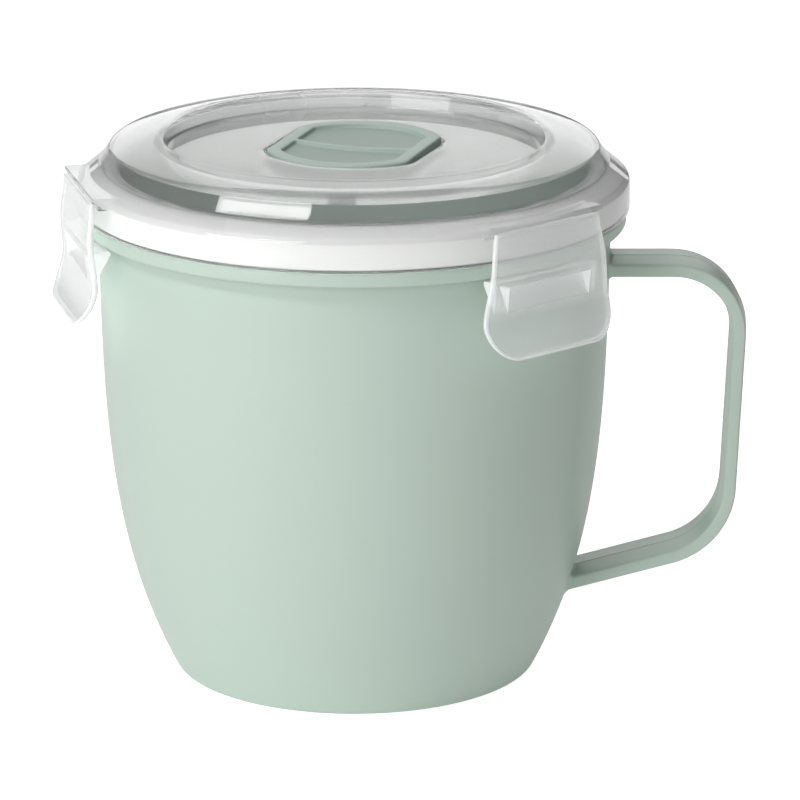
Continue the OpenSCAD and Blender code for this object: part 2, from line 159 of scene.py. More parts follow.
class Skin:
    """Points and faces that are gathered for one solid."""

    def __init__(self, second_from: float = math.inf) -> None:
        """Start with no points and no faces.

        Args:
            second_from: Number of the first face that takes the solid's second material.
        """
        self.second_from = second_from
        self.points: list[Vector] = []
        self.faces: list[list[int]] = []

    def row(self, places: Iterable[Vector]) -> list[int]:
        """Add points and return their numbers.

        Args:
            places: Where they lie.

        Returns:
            The points' numbers.
        """
        start = len(self.points)
        self.points.extend(places)
        return list(range(start, len(self.points)))

    def bridge(self, first: list[int], second: list[int], closed: bool = True) -> None:
        """Join two rows by faces.

        Args:
            first: One row, which may be a single point.
            second: The other row, which may be a single point.
            closed: Whether each row's end joins its start.
        """
        count = max(len(first), len(second))
        if count == 1:
            return
        for index in range(count if closed else count - 1):
            after = (index + 1) % count
            face = []
            for row, order in ((first, (index, after)), (second, (after, index))):
                face += row if len(row) == 1 else [row[number] for number in order]
            self.faces.append(face)

    def revolve(self, outline: Sequence[Vector], segments: int = 192) -> Skin:
        """Turn a closed outline about the Z axis.

        Args:
            outline: Points with their radius as x and their height as y.
            segments: Number of steps round the axis.

        Returns:
            This skin.
        """
        spokes = circle(1.0, Vector((0.0, 0.0)), segments)
        on_axis = 1e-7
        rings = []
        for point in outline:
            if point.x < on_axis:
                rings.append(self.row([Vector((0.0, 0.0, point.y))]))
            else:
                rings.append(self.row(Vector((point.x * s.x, point.x * s.y, point.y)) for s in spokes))
        for first, second in zip(rings, rings[1:] + rings[:1]):
            self.bridge(first, second)
        return self

    def loft(self, levels: Sequence[tuple[Sequence[Vector], float]], place: Matrix) -> Skin:
        """Draw a solid through closed outlines that lie over each other.

        Args:
            levels: Outlines with equal numbers of points, each with its height over the plane.
            place: Where the outlines' plane lies.

        Returns:
            This skin.
        """
        rows = [self.row(place @ Vector((p.x, p.y, level)) for p in outline) for outline, level in levels]
        for first, second in zip(rows, rows[1:]):
            self.bridge(first, second)
        self.faces += [list(reversed(rows[0])), list(rows[-1])]
        return self

    def prism(self, outline: Sequence[Vector], low: float, high: float, place: Matrix) -> Skin:
        """Draw a closed outline out to a prism.

        Args:
            outline: Points of the outline in its own plane.
            low: Start of the prism, square to that plane.
            high: End of the prism.
            place: Where the outline's plane lies.

        Returns:
            This skin.
        """
        return self.loft([(outline, low), (outline, high)], place)

    def solid(self, name: str, *materials: bpy.types.Material) -> bpy.types.Object:
        """Make an object of the skin, with its faces turned outwards.

        Args:
            name: The object's name.
            materials: Its materials, where two are worked into one piece.

        Returns:
            The object, linked to the scene.
        """
        mesh = bpy.data.meshes.new(name)
        mesh.from_pydata(self.points, [], self.faces)
        shape = bmesh.new()
        shape.from_mesh(mesh)
        bmesh.ops.recalc_face_normals(shape, faces=shape.faces)
        shape.to_mesh(mesh)
        shape.free()
        for material in materials:
            mesh.materials.append(material)
        picks = [int(number >= self.second_from) for number in range(len(mesh.polygons))]
        mesh.polygons.foreach_set("material_index", picks)
        made = bpy.data.objects.new(name, mesh)
        bpy.context.scene.collection.objects.link(made)
        return made


def settle(piece: bpy.types.Object) -> None:
    """Turn a piece's modifiers into its own mesh.

    Args:
        piece: The piece.
    """
    graph = bpy.context.evaluated_depsgraph_get()
    shaped = bpy.data.meshes.new_from_object(piece.evaluated_get(graph))
    old = piece.data
    piece.modifiers.clear()
    piece.data = shaped
    bpy.data.meshes.remove(old)


def work(
    piece: bpy.types.Object, tool: Skin | bpy.types.Object, join: Join, *materials: bpy.types.Material
) -> None:
    """Work a tool solid into a piece, and drop the tool.

    Args:
        piece: The solid that stays.
        tool: The solid that is added or cut away, or its skin.
        join: Which of the two.
        materials: The piece's two materials, where the tool's faces take the second.
    """
    if isinstance(tool, Skin):
        tool = tool.solid("tool", *materials)
    modifier = piece.modifiers.new("work", "BOOLEAN")
    modifier.operation = join.value
    modifier.solver = "EXACT"
    modifier.object = tool
    settle(piece)
    mesh = tool.data
    bpy.data.objects.remove(tool)
    bpy.data.meshes.remove(mesh)


def clean(piece: bpy.types.Object) -> None:
    """Split a piece's faces into triangles and drop those that have no area.

    Args:
        piece: The piece.
    """
    shape = bmesh.new()
    shape.from_mesh(piece.data)
    bmesh.ops.triangulate(shape, faces=shape.faces)
    bmesh.ops.dissolve_degenerate(shape, dist=0.001 * MM, edges=shape.edges)
    shape.to_mesh(piece.data)
    shape.free()


def soften(piece: bpy.types.Object, width: float, angle: float, segments: int = 3) -> None:
    """Round off a piece's sharp edges.

    Args:
        piece: The piece.
        width: Width of the rounded edge.
        angle: Edges that turn by more than this many degrees are rounded.
        segments: Number of steps over the round.
    """
    modifier = piece.modifiers.new("soften", "BEVEL")
    modifier.limit_method = "ANGLE"
    modifier.angle_limit = math.radians(angle)
    modifier.width = width
    modifier.segments = segments
    settle(piece)


def smooth(piece: bpy.types.Object, angle: float) -> None:
    """Shade a piece smoothly, apart from edges that turn by more than an angle in degrees."""
    piece.data.shade_smooth()
    piece.data.set_sharp_from_angle(angle=math.radians(angle))


class Term:
    """A number on a shader's socket, with the arithmetic that shader maths needs."""

    def __init__(self, graph: Graph, socket: bpy.types.NodeSocket) -> None:
        """Wrap a socket of a graph."""
        self.graph = graph
        self.socket = socket

    def __add__(self, other: Feed) -> Term:
        """Sum of two numbers."""
        return self.graph.math("ADD", self, other)

    def __sub__(self, other: Feed) -> Term:
        """Difference of two numbers."""
        return self.graph.math("SUBTRACT", self, other)

    def __rsub__(self, other: Feed) -> Term:
        """Difference with this number last."""
        return self.graph.math("SUBTRACT", other, self)

    def __mul__(self, other: Feed) -> Term:
        """Product of two numbers."""
        return self.graph.math("MULTIPLY", self, other)

    def __gt__(self, other: Feed) -> Term:
        """One where this number is the greater, zero elsewhere."""
        return self.graph.math("GREATER_THAN", self, other)

    def __lt__(self, other: Feed) -> Term:
        """One where this number is the smaller, zero elsewhere."""
        return self.graph.math("LESS_THAN", self, other)

    __radd__ = __add__
    __rmul__ = __mul__


class Graph:
    """The nodes of one material."""

    def __init__(self, name: str) -> None:
        """Make an empty material.

        Args:
            name: The material's name.
        """
        self.material = bpy.data.materials.new(name)
        self.material.use_nodes = True
        self.tree = self.material.node_tree
        self.tree.nodes.clear()

    def node(
        self,
        kind: str,
        settings: Mapping[str, Any] | None = None,
        sockets: Mapping[str | int, Feed] | None = None,
    ) -> bpy.types.Node:
        """Add a node.

        Args:
            kind: The node's type.
            settings: Its settings, which are set first.
            sockets: Values or links of its inputs, by name or number.

        Returns:
            The node.
        """
        made = self.tree.nodes.new(kind)
        for name, value in (settings or {}).items():
            setattr(made, name, value)
        for name, value in (sockets or {}).items():
            source = value.socket if isinstance(value, Term) else value
            if isinstance(source, bpy.types.NodeSocket):
                self.tree.links.new(source, made.inputs[name])
            elif isinstance(source, (int, float)):
                made.inputs[name].default_value = source
            else:
                size = len(made.inputs[name].default_value)
                made.inputs[name].default_value = (*source, 1.0)[:size]
        return made

    def math(self, operation: str, first: Feed, second: Feed) -> Term:
        """Add a Math node and return its result."""
        made = self.node("ShaderNodeMath", {"operation": operation}, {0: first, 1: second})
        return Term(self, made.outputs[0])

    def place(self) -> bpy.types.NodeSocket:
        """Give the place on the piece in metres."""
        return self.node("ShaderNodeTexCoord").outputs["Object"]

    def noise(self, size: float, detail: float = 2.0) -> Term:
        """Give a soft random field.

        Args:
            size: Size of its blotches in metres.
            detail: How many finer octaves it has.

        Returns:
            The field, mostly between 0.3 and 0.7.
        """
        sockets = {"Vector": self.place(), "Scale": 1.0 / size, "Detail": detail}
        return Term(self, self.node("ShaderNodeTexNoise", None, sockets).outputs[0])

    def blend(self, share: Feed, first: Feed, second: Feed) -> bpy.types.NodeSocket:
        """Mix two colours by a share of the second."""
        made = self.node("ShaderNodeMix", {"data_type": "RGBA"}, {0: share, 6: first, 7: second})
        return made.outputs[2]

    def bump(self, height: Feed, depth: float, strength: float) -> bpy.types.NodeSocket:
        """Give the normal of a surface that a height field makes uneven.

        Args:
            height: The height field.
            depth: Its full depth in metres.
            strength: How much of it shows.

        Returns:
            The normal.
        """
        sockets = {"Height": height, "Distance": depth, "Strength": strength}
        return self.node("ShaderNodeBump", None, sockets).outputs["Normal"]

    def surface(self, sockets: Mapping[str | int, Feed]) -> bpy.types.NodeSocket:
        """Add the surface shader with its inputs, and return its result."""
        return self.node("ShaderNodeBsdfPrincipled", None, sockets).outputs[0]

    def close(self, shader: bpy.types.NodeSocket) -> bpy.types.Material:
        """Link a shader to the material's output and return the material."""
        self.node("ShaderNodeOutputMaterial", None, {"Surface": shader})
        return self.material


@dataclass(frozen=True)
class MouldedFinish:
    """Opaque coloured plastic: a faint drift of tone, fine moulded grain and a few tiny specks."""

    name: str
    color: Rgb
    deep_color: Rgb
    speck_color: Rgb
    roughness: float
    drift_size: float = 45 * MM
    drift_gloss: float = 0.06
    rub_size: float = 6 * MM
    rub_gloss: float = 0.04
    speck_size: float = 0.8 * MM
    speck_level: float = 0.82
    speck_share: float = 0.12
    grain_size: float = 0.5 * MM
    grain_depth: float = 0.02 * MM
    grain_strength: float = 0.25
    bend: float = 1.36

    def material(self) -> bpy.types.Material:
        """Make the finish's material.

        Returns:
            The material.
        """
        graph = Graph(self.name)
        drift = graph.noise(self.drift_size, detail=3.0)
        grain = graph.noise(self.grain_size)
        rubbed = graph.noise(self.rub_size, detail=5.0)
        specks = graph.noise(self.speck_size, detail=0.0) > self.speck_level
        tone = graph.blend(drift, self.deep_color, self.color)
        gloss = self.drift_gloss * (drift - 0.5) + self.rub_gloss * (rubbed - 0.5)
        sockets = {
            "Base Color": graph.blend(self.speck_share * specks, tone, self.speck_color),
            "Roughness": self.roughness + gloss,
            "Normal": graph.bump(grain, self.grain_depth, self.grain_strength),
            "IOR": self.bend,
        }
        return graph.close(graph.surface(sockets))


@dataclass(frozen=True)
class ClearFinish:
    """See-through plastic that may be milky, with faint flow waves and rubbed patches.

    Attributes:
        name: The material's name.
        tint: Colour of light that has gone through.
        clear: Share of light that goes through, where the rest is scattered as by milk.
        roughness: Roughness that blurs what is seen through it.
        gloss: Roughness of its outermost skin, which blurs reflections.
        bend: Refractive index, low because haze hides how far thin walls bend the light.
        lamp_share: Share of a lamp's light that goes straight through.
        lamp_steps: Heights and the shares that hold below them, from the highest down.
        thick: Heights of a band over the shoulder whose tint is darker, painted shade on the seal seen
            through it.
        shade_band_tint: The band's darker tint, painted shade.

    The other values are the sizes and strengths of its waves, grain and rubbed patches.
    """

    name: str
    tint: Rgb
    clear: float
    roughness: float
    gloss: float
    lamp_share: float
    lamp_steps: tuple[tuple[float, float], ...] = ()
    thick: tuple[float, float] = (0.0, 0.0)
    # Painted shade: darker tint of the band between the heights in thick.
    shade_band_tint: Rgb = (0.84, 0.845, 0.85)
    bend: float = 1.05
    wave_size: float = 14 * MM
    wave_depth: float = 0.06 * MM
    wave_strength: float = 0.08
    grain_size: float = 0.8 * MM
    grain_share: float = 0.05
    rub_size: float = 25 * MM
    rub_tone: float = 0.97
    rub_gloss: float = 0.5

    def material(self) -> bpy.types.Material:
        """Make the finish's material.

        Returns:
            The material.
        """
        graph = Graph(self.name)
        waves = graph.noise(self.wave_size, detail=1.0)
        grain = graph.noise(self.grain_size)
        rubbed = graph.noise(self.rub_size, detail=4.0)
        height = Term(graph, graph.node("ShaderNodeSeparateXYZ", None, {0: graph.place()}).outputs["Z"])
        # Painted shade: between the heights in thick the base colour takes the darker shade_band_tint,
        # dimming the seal seen through the shoulder.
        thick = (height > self.thick[0]) * (height < self.thick[1])
        tone = graph.blend(rubbed, self.tint, [self.rub_tone * share for share in self.tint])
        sockets = {
            "Base Color": graph.blend(thick, tone, self.shade_band_tint),
            "Roughness": self.roughness + self.rub_gloss * self.roughness * (rubbed - 0.5),
            "Normal": graph.bump(waves + self.grain_share * grain, self.wave_depth, self.wave_strength),
            "IOR": self.bend,
            "Transmission Weight": self.clear,
            "Coat Weight": 1.0,
            "Coat Roughness": self.gloss,
        }
        body = graph.surface(sockets)
        shadow = Term(graph, graph.node("ShaderNodeLightPath").outputs["Is Shadow Ray"])
        open_way = graph.node("ShaderNodeBsdfTransparent", None, {"Color": self.tint}).outputs[0]
        share: Feed = self.lamp_share
        before = self.lamp_share
        for level, below in self.lamp_steps:
            share = share + (below - before) * (height < level)
            before = below
        mixed = graph.node("ShaderNodeMixShader", None, {0: shadow * share, 1: body, 2: open_way})
        return graph.close(mixed.outputs[0])


@dataclass(frozen=True)
class FloorFinish:
    """Matt white paper under the mug."""

    name: str = "studio_paper"
    color: Rgb = (0.8, 0.8, 0.8)
    seen_glow: Rgb = (0.85, 0.85, 0.85)
    cast_glow: Rgb = (0.3, 0.3, 0.3)
    roughness: float = 0.7
    shine: float = 0.15
    fibre_size: float = 1.5 * MM
    fibre_tone: float = 0.985
    fibre_gloss: float = 0.2

    def material(self) -> bpy.types.Material:
        """Make the finish's material.

        Returns:
            The material.
        """
        graph = Graph(self.name)
        fibre = graph.noise(self.fibre_size, detail=3.0)
        fibre_color = [self.fibre_tone * share for share in self.color]
        seen = graph.node("ShaderNodeLightPath").outputs["Is Camera Ray"]
        sockets = {
            "Base Color": graph.blend(fibre, self.color, fibre_color),
            "Roughness": self.roughness + self.fibre_gloss * (fibre - 0.5),
            "Specular IOR Level": self.shine,
            "Emission Color": graph.blend(seen, self.cast_glow, self.seen_glow),
            "Emission Strength": 1.0,
        }
        return graph.close(graph.surface(sockets))


def fit(piece: bpy.types.Object, node: str, body: str, slot: str, *materials: bpy.types.Material) -> None:
    """Dress a piece and put it in the place of its solid.

    Args:
        piece: The piece.
        node: The solid that it stands for.
        body: The body that it rides on.
        slot: Not used.
        materials: Its material, unless it has its own already.
    """
    for material in materials:
        piece.data.materials.append(material)
    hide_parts(node)
    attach(piece, body)
    LOG.info("%s: %d faces, rides on %s", piece.name, len(piece.data.polygons), body)


@dataclass(frozen=True)
class Station:
    """A place along the handle where its section is drawn.

    Attributes:
        place: Its place in the plane of the handle.
        angle: The angle of the handle's outer side there.
        swell: How far the section is widened all round.
        way: At a root, the direction that each point follows to the wall.
        depth: At a root, how far behind the wall's face the points lie.
    """

    place: Vector
    angle: float
    swell: float = 0.0
    way: Vector | None = None
    depth: float = 0.0


@dataclass
class Mug:
    """The mug: foot, bellied wall, turned-down rim band, sealing lip and handle, in one moulding."""

    body_h: float = 107.6 * MM
    body_r: float = 59.7 * MM
    wall: float = 2.2 * MM
    draft: float = math.radians(1.0)
    belly_in: float = 15.7 * MM
    belly_power: float = 3.5
    foot_round: float = 2.5 * MM
    foot_in: float = 37.2 * MM
    foot_recess: float = 1.2 * MM
    foot_edge: float = 0.5 * MM
    floor_z: float = 3.8 * MM
    floor_round: float = 6.0 * MM
    rim_r: float = 63.2 * MM
    rim_t: float = 1.6 * MM
    rim_top: float = 110.8 * MM
    rim_edge: float = 0.7 * MM
    rim_inside: float = 0.4 * MM
    lip_top: float = 117.3 * MM
    lip_root: float = 0.5 * MM
    lip_share: float = 0.48
    handle_w: float = 16.0 * MM
    handle_mid: float = 1.9 * MM
    handle_face: float = 1.5 * MM
    handle_edge: float = 0.7 * MM
    handle_top_z: float = 97.0 * MM
    handle_low_z: float = 30.7 * MM
    handle_reach: float = 90.4 * MM
    handle_lean: float = math.radians(2.65)
    handle_low_slope: float = math.radians(15.1)
    handle_top_bend: float = 15.3 * MM
    handle_low_bend: float = 18.3 * MM
    parting_line: float = 0.09 * MM
    parting_half: float = 0.16 * MM
    root_round: float = 1.1 * MM
    root_sink: float = 0.8 * MM

    def wall_r(self, z: float) -> float:
        """Outer radius of the wall at a height.

        Args:
            z: The height.

        Returns:
            The radius.
        """
        return (
            self.body_r
            - (self.body_h - z) * math.tan(self.draft)
            - self.belly_in * (1 - z / self.body_h) ** self.belly_power
        )

    def outline(self, steps: int = 48) -> list[Vector]:
        """Draw the half section from the middle of the foot round to the middle of the floor.

        Args:
            steps: Number of chords up the wall.

        Returns:
            The outline's points.
        """
        heights = [self.body_h * step / steps for step in range(steps + 1)]
        rim_in = self.rim_r - self.rim_t
        rim_roof = self.rim_top - self.rim_t
        lip_round = self.lip_share * self.wall
        outer = [z for z in heights if z > self.foot_round]
        inner = [z for z in reversed(heights) if z > self.floor_z + self.floor_round]
        corners = [
            Corner(0.0, self.foot_recess),
            Corner(self.foot_in, self.foot_recess, self.foot_edge),
            Corner(self.foot_in, 0.0, self.foot_edge),
            Corner(self.wall_r(0.0), 0.0, self.foot_round),
            *[Corner(self.wall_r(z), z) for z in outer],
            Corner(self.body_r, rim_roof, self.rim_inside),
            Corner(rim_in, rim_roof, self.rim_inside),
            Corner(rim_in, self.body_h, self.rim_inside),
            Corner(self.rim_r, self.body_h, self.rim_edge),
            Corner(self.rim_r, self.rim_top, self.rim_edge),
            Corner(self.body_r, self.rim_top, self.lip_root),
            Corner(self.body_r, self.lip_top, lip_round),
            Corner(self.body_r - self.wall, self.lip_top, lip_round),
            *[Corner(self.wall_r(z) - self.wall, z) for z in inner],
            Corner(self.wall_r(self.floor_z) - self.wall, self.floor_z, self.floor_round),
            Corner(0.0, self.floor_z),
        ]
        return rounded(corners, steps=6)

    def handle_section(self, swell: float) -> list[Vector]:
        """Draw the handle's cross-section with a fine bead along its parting line.

        Args:
            swell: How far the section is widened all round.

        Returns:
            The section's points, x along its thickness and y along its width.
        """
        face = self.handle_face + swell
        side = self.handle_w / 2 + swell
        middle = self.handle_mid + swell
        half = [
            Corner(face, side, self.handle_edge),
            Corner(-face, side, self.handle_edge),
            Corner(-middle, self.parting_half),
            Corner(-middle - self.parting_line, 0.0),
            Corner(-middle, -self.parting_half),
        ]
        return rounded([*half, *[Corner(-corner.x, -corner.y, corner.r) for corner in half]])

    def bend(self, centre: Vector, radius: float, start: float, end: float) -> list[tuple[Vector, float]]:
        """List the stations round a bend.

        Args:
            centre: The bend's centre.
            radius: Its radius.
            start: Angle of the outer side where it starts.
            end: Angle of the outer side where it ends.

        Returns:
            The stations' places and angles.
        """
        steps = 20
        angles = [start + (end - start) * step / steps for step in range(steps + 1)]
        return [(centre + turned(Vector((radius, 0.0)), angle), angle) for angle in angles]

    def handle_stations(self) -> list[Station]:
        """List the stations along the handle, from its upper to its lower root.

        Returns:
            The stations.
        """
        upper = Vector((self.handle_reach, self.handle_top_z))
        upper_tangent = self.handle_top_bend * math.tan((math.pi / 2 + self.handle_lean) / 2)
        drop = self.handle_top_z - self.handle_low_z
        lower = Vector((self.handle_reach - drop * math.tan(self.handle_lean), self.handle_low_z))
        lower_turn = math.pi / 2 - self.handle_lean - self.handle_low_slope
        way = Vector((-math.cos(self.handle_low_slope), -math.sin(self.handle_low_slope)))
        lower_start = lower + way * self.handle_low_bend * math.tan(lower_turn / 2)
        inward = Vector((-math.sin(self.handle_low_slope), math.cos(self.handle_low_slope)))
        stations = [
            *self.bend(
                upper - Vector((upper_tangent, self.handle_top_bend)),
                self.handle_top_bend,
                math.pi / 2,
                -self.handle_lean,
            ),
            *self.bend(
                lower_start + inward * self.handle_low_bend,
                self.handle_low_bend,
                -self.handle_lean,
                self.handle_low_slope - math.pi / 2,
            ),
        ]
        return [
            *reversed(self.root(*stations[0], Vector((-1.0, 0.0, 0.0)))),
            *[Station(place, angle) for place, angle in stations],
            *self.root(*stations[-1], Vector((way.x, 0.0, way.y))),
        ]

    def root(self, place: Vector, angle: float, way: Vector) -> list[Station]:
        """List the stations that round off a root of the handle where it meets the wall.

        Args:
            place: Where the straight arm begins.
            angle: The angle of the arm's outer side.
            way: The arm's direction towards the wall.

        Returns:
            The root's stations, the last one inside the wall.
        """
        steps = 8
        stations = []
        for step in range(steps + 1):
            turn = math.pi / 2 * step / steps
            swell = self.root_round * (1 - math.cos(turn))
            depth = self.root_round * (math.sin(turn) - 1)
            stations.append(Station(place, angle, swell, way, depth))
        return [*stations, Station(place, angle, self.root_round, way, self.root_sink)]

    def to_wall(self, point: Vector, way: Vector) -> Vector:
        """Move a point along a direction until it meets the wall's outer face.

        Args:
            point: A point of the handle.
            way: The direction towards the wall.

        Returns:
            The point on the wall's face.
        """
        tries = 12
        for _ in range(tries):
            gap = math.hypot(point.x, point.y) - self.wall_r(point.z)
            point = point - way * (gap / way.x)
        return point

    def build(self) -> bpy.types.Object:
        """Build the mug's wall and handle.

        Returns:
            The moulding.
        """
        skin = Skin().revolve(self.outline(), segments=256)
        rings = []
        for station in self.handle_stations():
            arm = Vector((math.cos(station.angle), 0.0, math.sin(station.angle)))
            centre = Vector((station.place.x, 0.0, station.place.y))
            section = self.handle_section(station.swell)
            points = [centre + arm * p.x + Vector((0.0, p.y, 0.0)) for p in section]
            if station.way:
                sunk = station.way * station.depth
                points = [self.to_wall(point, station.way) + sunk for point in points]
            rings.append(skin.row(points))
        for first, second in zip(rings, rings[1:]):
            skin.bridge(first, second)
        skin.faces += [list(rings[0]), list(reversed(rings[-1]))]
        piece = skin.solid("mug_moulding")
        smooth(piece, angle=25)
        return piece

    def dress(self, material: bpy.types.Material) -> None:
        """Build the mug and put it in its place."""
        fit(self.build(), "mug_body", "mug", "mint_plastic", material)


@dataclass
class Vent:
    """The vent: a flap with two hollows and a curved bar, its hinge pin, and the plug under it."""

    turn: float
    axis_out: float
    axis_z: float
    radius: float = 20.9 * MM
    half_flats: float = 17.35 * MM
    corner: float = 2.5 * MM
    edge_round: float = 0.5 * MM
    low_z: float = 123.3389 * MM
    front_z: float = 125.2389 * MM
    tilt: float = math.radians(1.5)
    rim: float = 3.4 * MM
    hollow: float = 1.0 * MM
    hollow_corner: float = 1.6 * MM
    bar_curve: float = 48.0 * MM
    bar_offset: float = -3.1 * MM
    bar_w: float = 1.2 * MM
    tongue_w: float = 10.0 * MM
    tongue_round: float = 0.2 * MM
    knuckle_r: float = 0.8 * MM
    pin_r: float = 0.5 * MM
    pin_length: float = 14.6 * MM
    hinge_gap: float = 0.3 * MM
    steam_offset: float = 8.0 * MM
    steam_r: float = 3.3 * MM
    plug_head_r: float = 4.2 * MM
    plug_head_t: float = 0.8 * MM
    plug_head_round: float = 0.3 * MM
    plug_low: float = 121.04 * MM
    plug_fit: float = 0.05 * MM
    stem_r: float = 3.0 * MM
    stem_length: float = 1.4 * MM
    stem_root: float = 0.25 * MM
    stem_tip: float = 2.2 * MM
    stem_round: float = 0.5 * MM

    @property
    def place(self) -> Matrix:
        """The flap's turn about the lid's axis."""
        return Matrix.Rotation(self.turn, 4, "Z")

    @property
    def face(self) -> Matrix:
        """The flap's tilted face, which rises from its front edge to its hinge.

        Returns:
            The face's place.
        """
        edge = Matrix.Translation((0.0, -self.radius, self.front_z))
        middle = Matrix.Translation((0.0, self.radius, 0.0))
        return self.place @ edge @ Matrix.Rotation(self.tilt, 4, "X") @ middle

    @property
    def across(self) -> Matrix:
        """A plane square to the hinge's axis: x from the flap's centre to the hinge, y up."""
        return self.place @ Matrix(((0, 0, 1, 0), (1, 0, 0, 0), (0, 1, 0, 0), (0, 0, 0, 1)))

    def outline(self, radius: float, half: float, corner: float) -> list[Vector]:
        """Draw a round plate with two flat sides.

        Args:
            radius: Radius of its round sides.
            half: Distance of its flat sides from the middle.
            corner: Radius of its four corners.

        Returns:
            The outline's points.
        """
        chords = 28
        span = math.pi / 2 - math.acos(half / radius)
        corners = []
        for base in (math.pi / 2, 3 * math.pi / 2):
            for step in range(chords + 1):
                point = turned(Vector((radius, 0.0)), base - span + 2 * span * step / chords)
                corners.append(Corner(point.x, point.y, corner if step in (0, chords) else 0.0))
        return rounded(corners)

    def hollow_outline(self, front: bool) -> list[Vector]:
        """Draw one of the two hollows.

        Args:
            front: Whether it lies in front of the curved bar or behind it.

        Returns:
            The outline's points.
        """
        chords, bar_chords = 24, 20
        side = 1 if front else -1
        radius, half = self.radius - self.rim, self.half_flats - self.rim
        bar_r = self.bar_curve + side * self.bar_w / 2
        base = -side * math.pi / 2
        span = math.asin(half / radius)
        angles = [base - span + 2 * span * step / chords for step in range(chords + 1)]
        points = [turned(Vector((radius, 0.0)), angle) for angle in angles]
        ways = [side * half * (1 - 2 * step / bar_chords) for step in range(bar_chords + 1)]
        centre = self.bar_offset + self.bar_curve
        points += [Vector((x, centre - math.sqrt(bar_r**2 - x * x))) for x in ways]
        ends = (0, chords, chords + 1, chords + 1 + bar_chords)
        rounds = [self.hollow_corner if index in ends else 0.0 for index in range(len(points))]
        return rounded([Corner(point.x, point.y, r) for point, r in zip(points, rounds)])

    def flap(self, face: bpy.types.Material, floor: bpy.types.Material) -> bpy.types.Object:
        """Build the flap with its tongue, knuckle and pin.

        Args:
            face: Material of its outside.
            floor: Material of its two hollows: a darker tone of its plastic, painted shade in the
                recesses.

        Returns:
            The flap.
        """
        plate = self.outline(self.radius, self.half_flats, self.corner)
        blank = Skin().prism(plate, self.low_z, self.front_z + 2 * SPARE, self.place)
        piece = blank.solid("vent_cover", face, floor)
        work(piece, Skin().prism(square(2 * self.radius), 0.0, 4 * SPARE, self.face), Join.CUT)
        for front in (True, False):
            # The hollows' faces take the darker floor material, painted shade in the recesses.
            hollow = Skin(second_from=0).prism(self.hollow_outline(front), -self.hollow, SPARE, self.face)
            work(piece, hollow, Join.CUT, face, floor)
        soften(piece, self.edge_round, angle=50, segments=4)
        seat = circle(self.plug_head_r + self.plug_fit, Vector((0.0, -self.steam_offset)))
        top = self.low_z + self.plug_head_t
        work(piece, Skin().prism(seat, self.low_z - SPARE, top, self.place), Join.CUT)
        root, tip = self.radius - self.rim, self.axis_out + self.knuckle_r
        low, high = self.axis_z - self.knuckle_r, self.axis_z + self.knuckle_r
        tongue = rounded([
            Corner(root, low, self.tongue_round),
            Corner(tip, low, self.knuckle_r),
            Corner(tip, high, self.knuckle_r),
            Corner(root, high, self.tongue_round),
        ], steps=8)
        pin = circle(self.pin_r, Vector((self.axis_out, self.axis_z)))
        for section, width in ((tongue, self.tongue_w), (pin, self.pin_length)):
            work(piece, Skin().prism(section, -width / 2, width / 2, self.across), Join.ADD)
        clean(piece)
        smooth(piece, angle=35)
        return piece

    def plug(self) -> bpy.types.Object:
        """Build the soft plug that closes the steam hole.

        Returns:
            The plug.
        """
        top = self.low_z + self.plug_head_t
        skin = Skin().revolve(rounded([
            Corner(0.0, self.plug_low),
            Corner(self.stem_tip, self.plug_low, self.stem_round),
            Corner(self.stem_r, self.low_z - self.stem_length, self.stem_round),
            Corner(self.stem_r, self.low_z, self.stem_root),
            Corner(self.plug_head_r, self.low_z, self.plug_head_round),
            Corner(self.plug_head_r, top, self.plug_head_round),
            Corner(0.0, top),
        ]), segments=64)
        shift = self.place @ Matrix.Translation((0.0, -self.steam_offset, 0.0))
        skin.points = [shift @ point for point in skin.points]
        piece = skin.solid("steam_plug")
        smooth(piece, angle=40)
        return piece

    def dress(
        self, face: bpy.types.Material, floor: bpy.types.Material, plug: bpy.types.Material
    ) -> None:
        """Build the flap and the plug and put them in their places."""
        fit(self.flap(face, floor), "vent_flap", "vent", "vent_plastic")
        fit(self.plug(), "vent_plug", "vent", "white_silicone", plug)


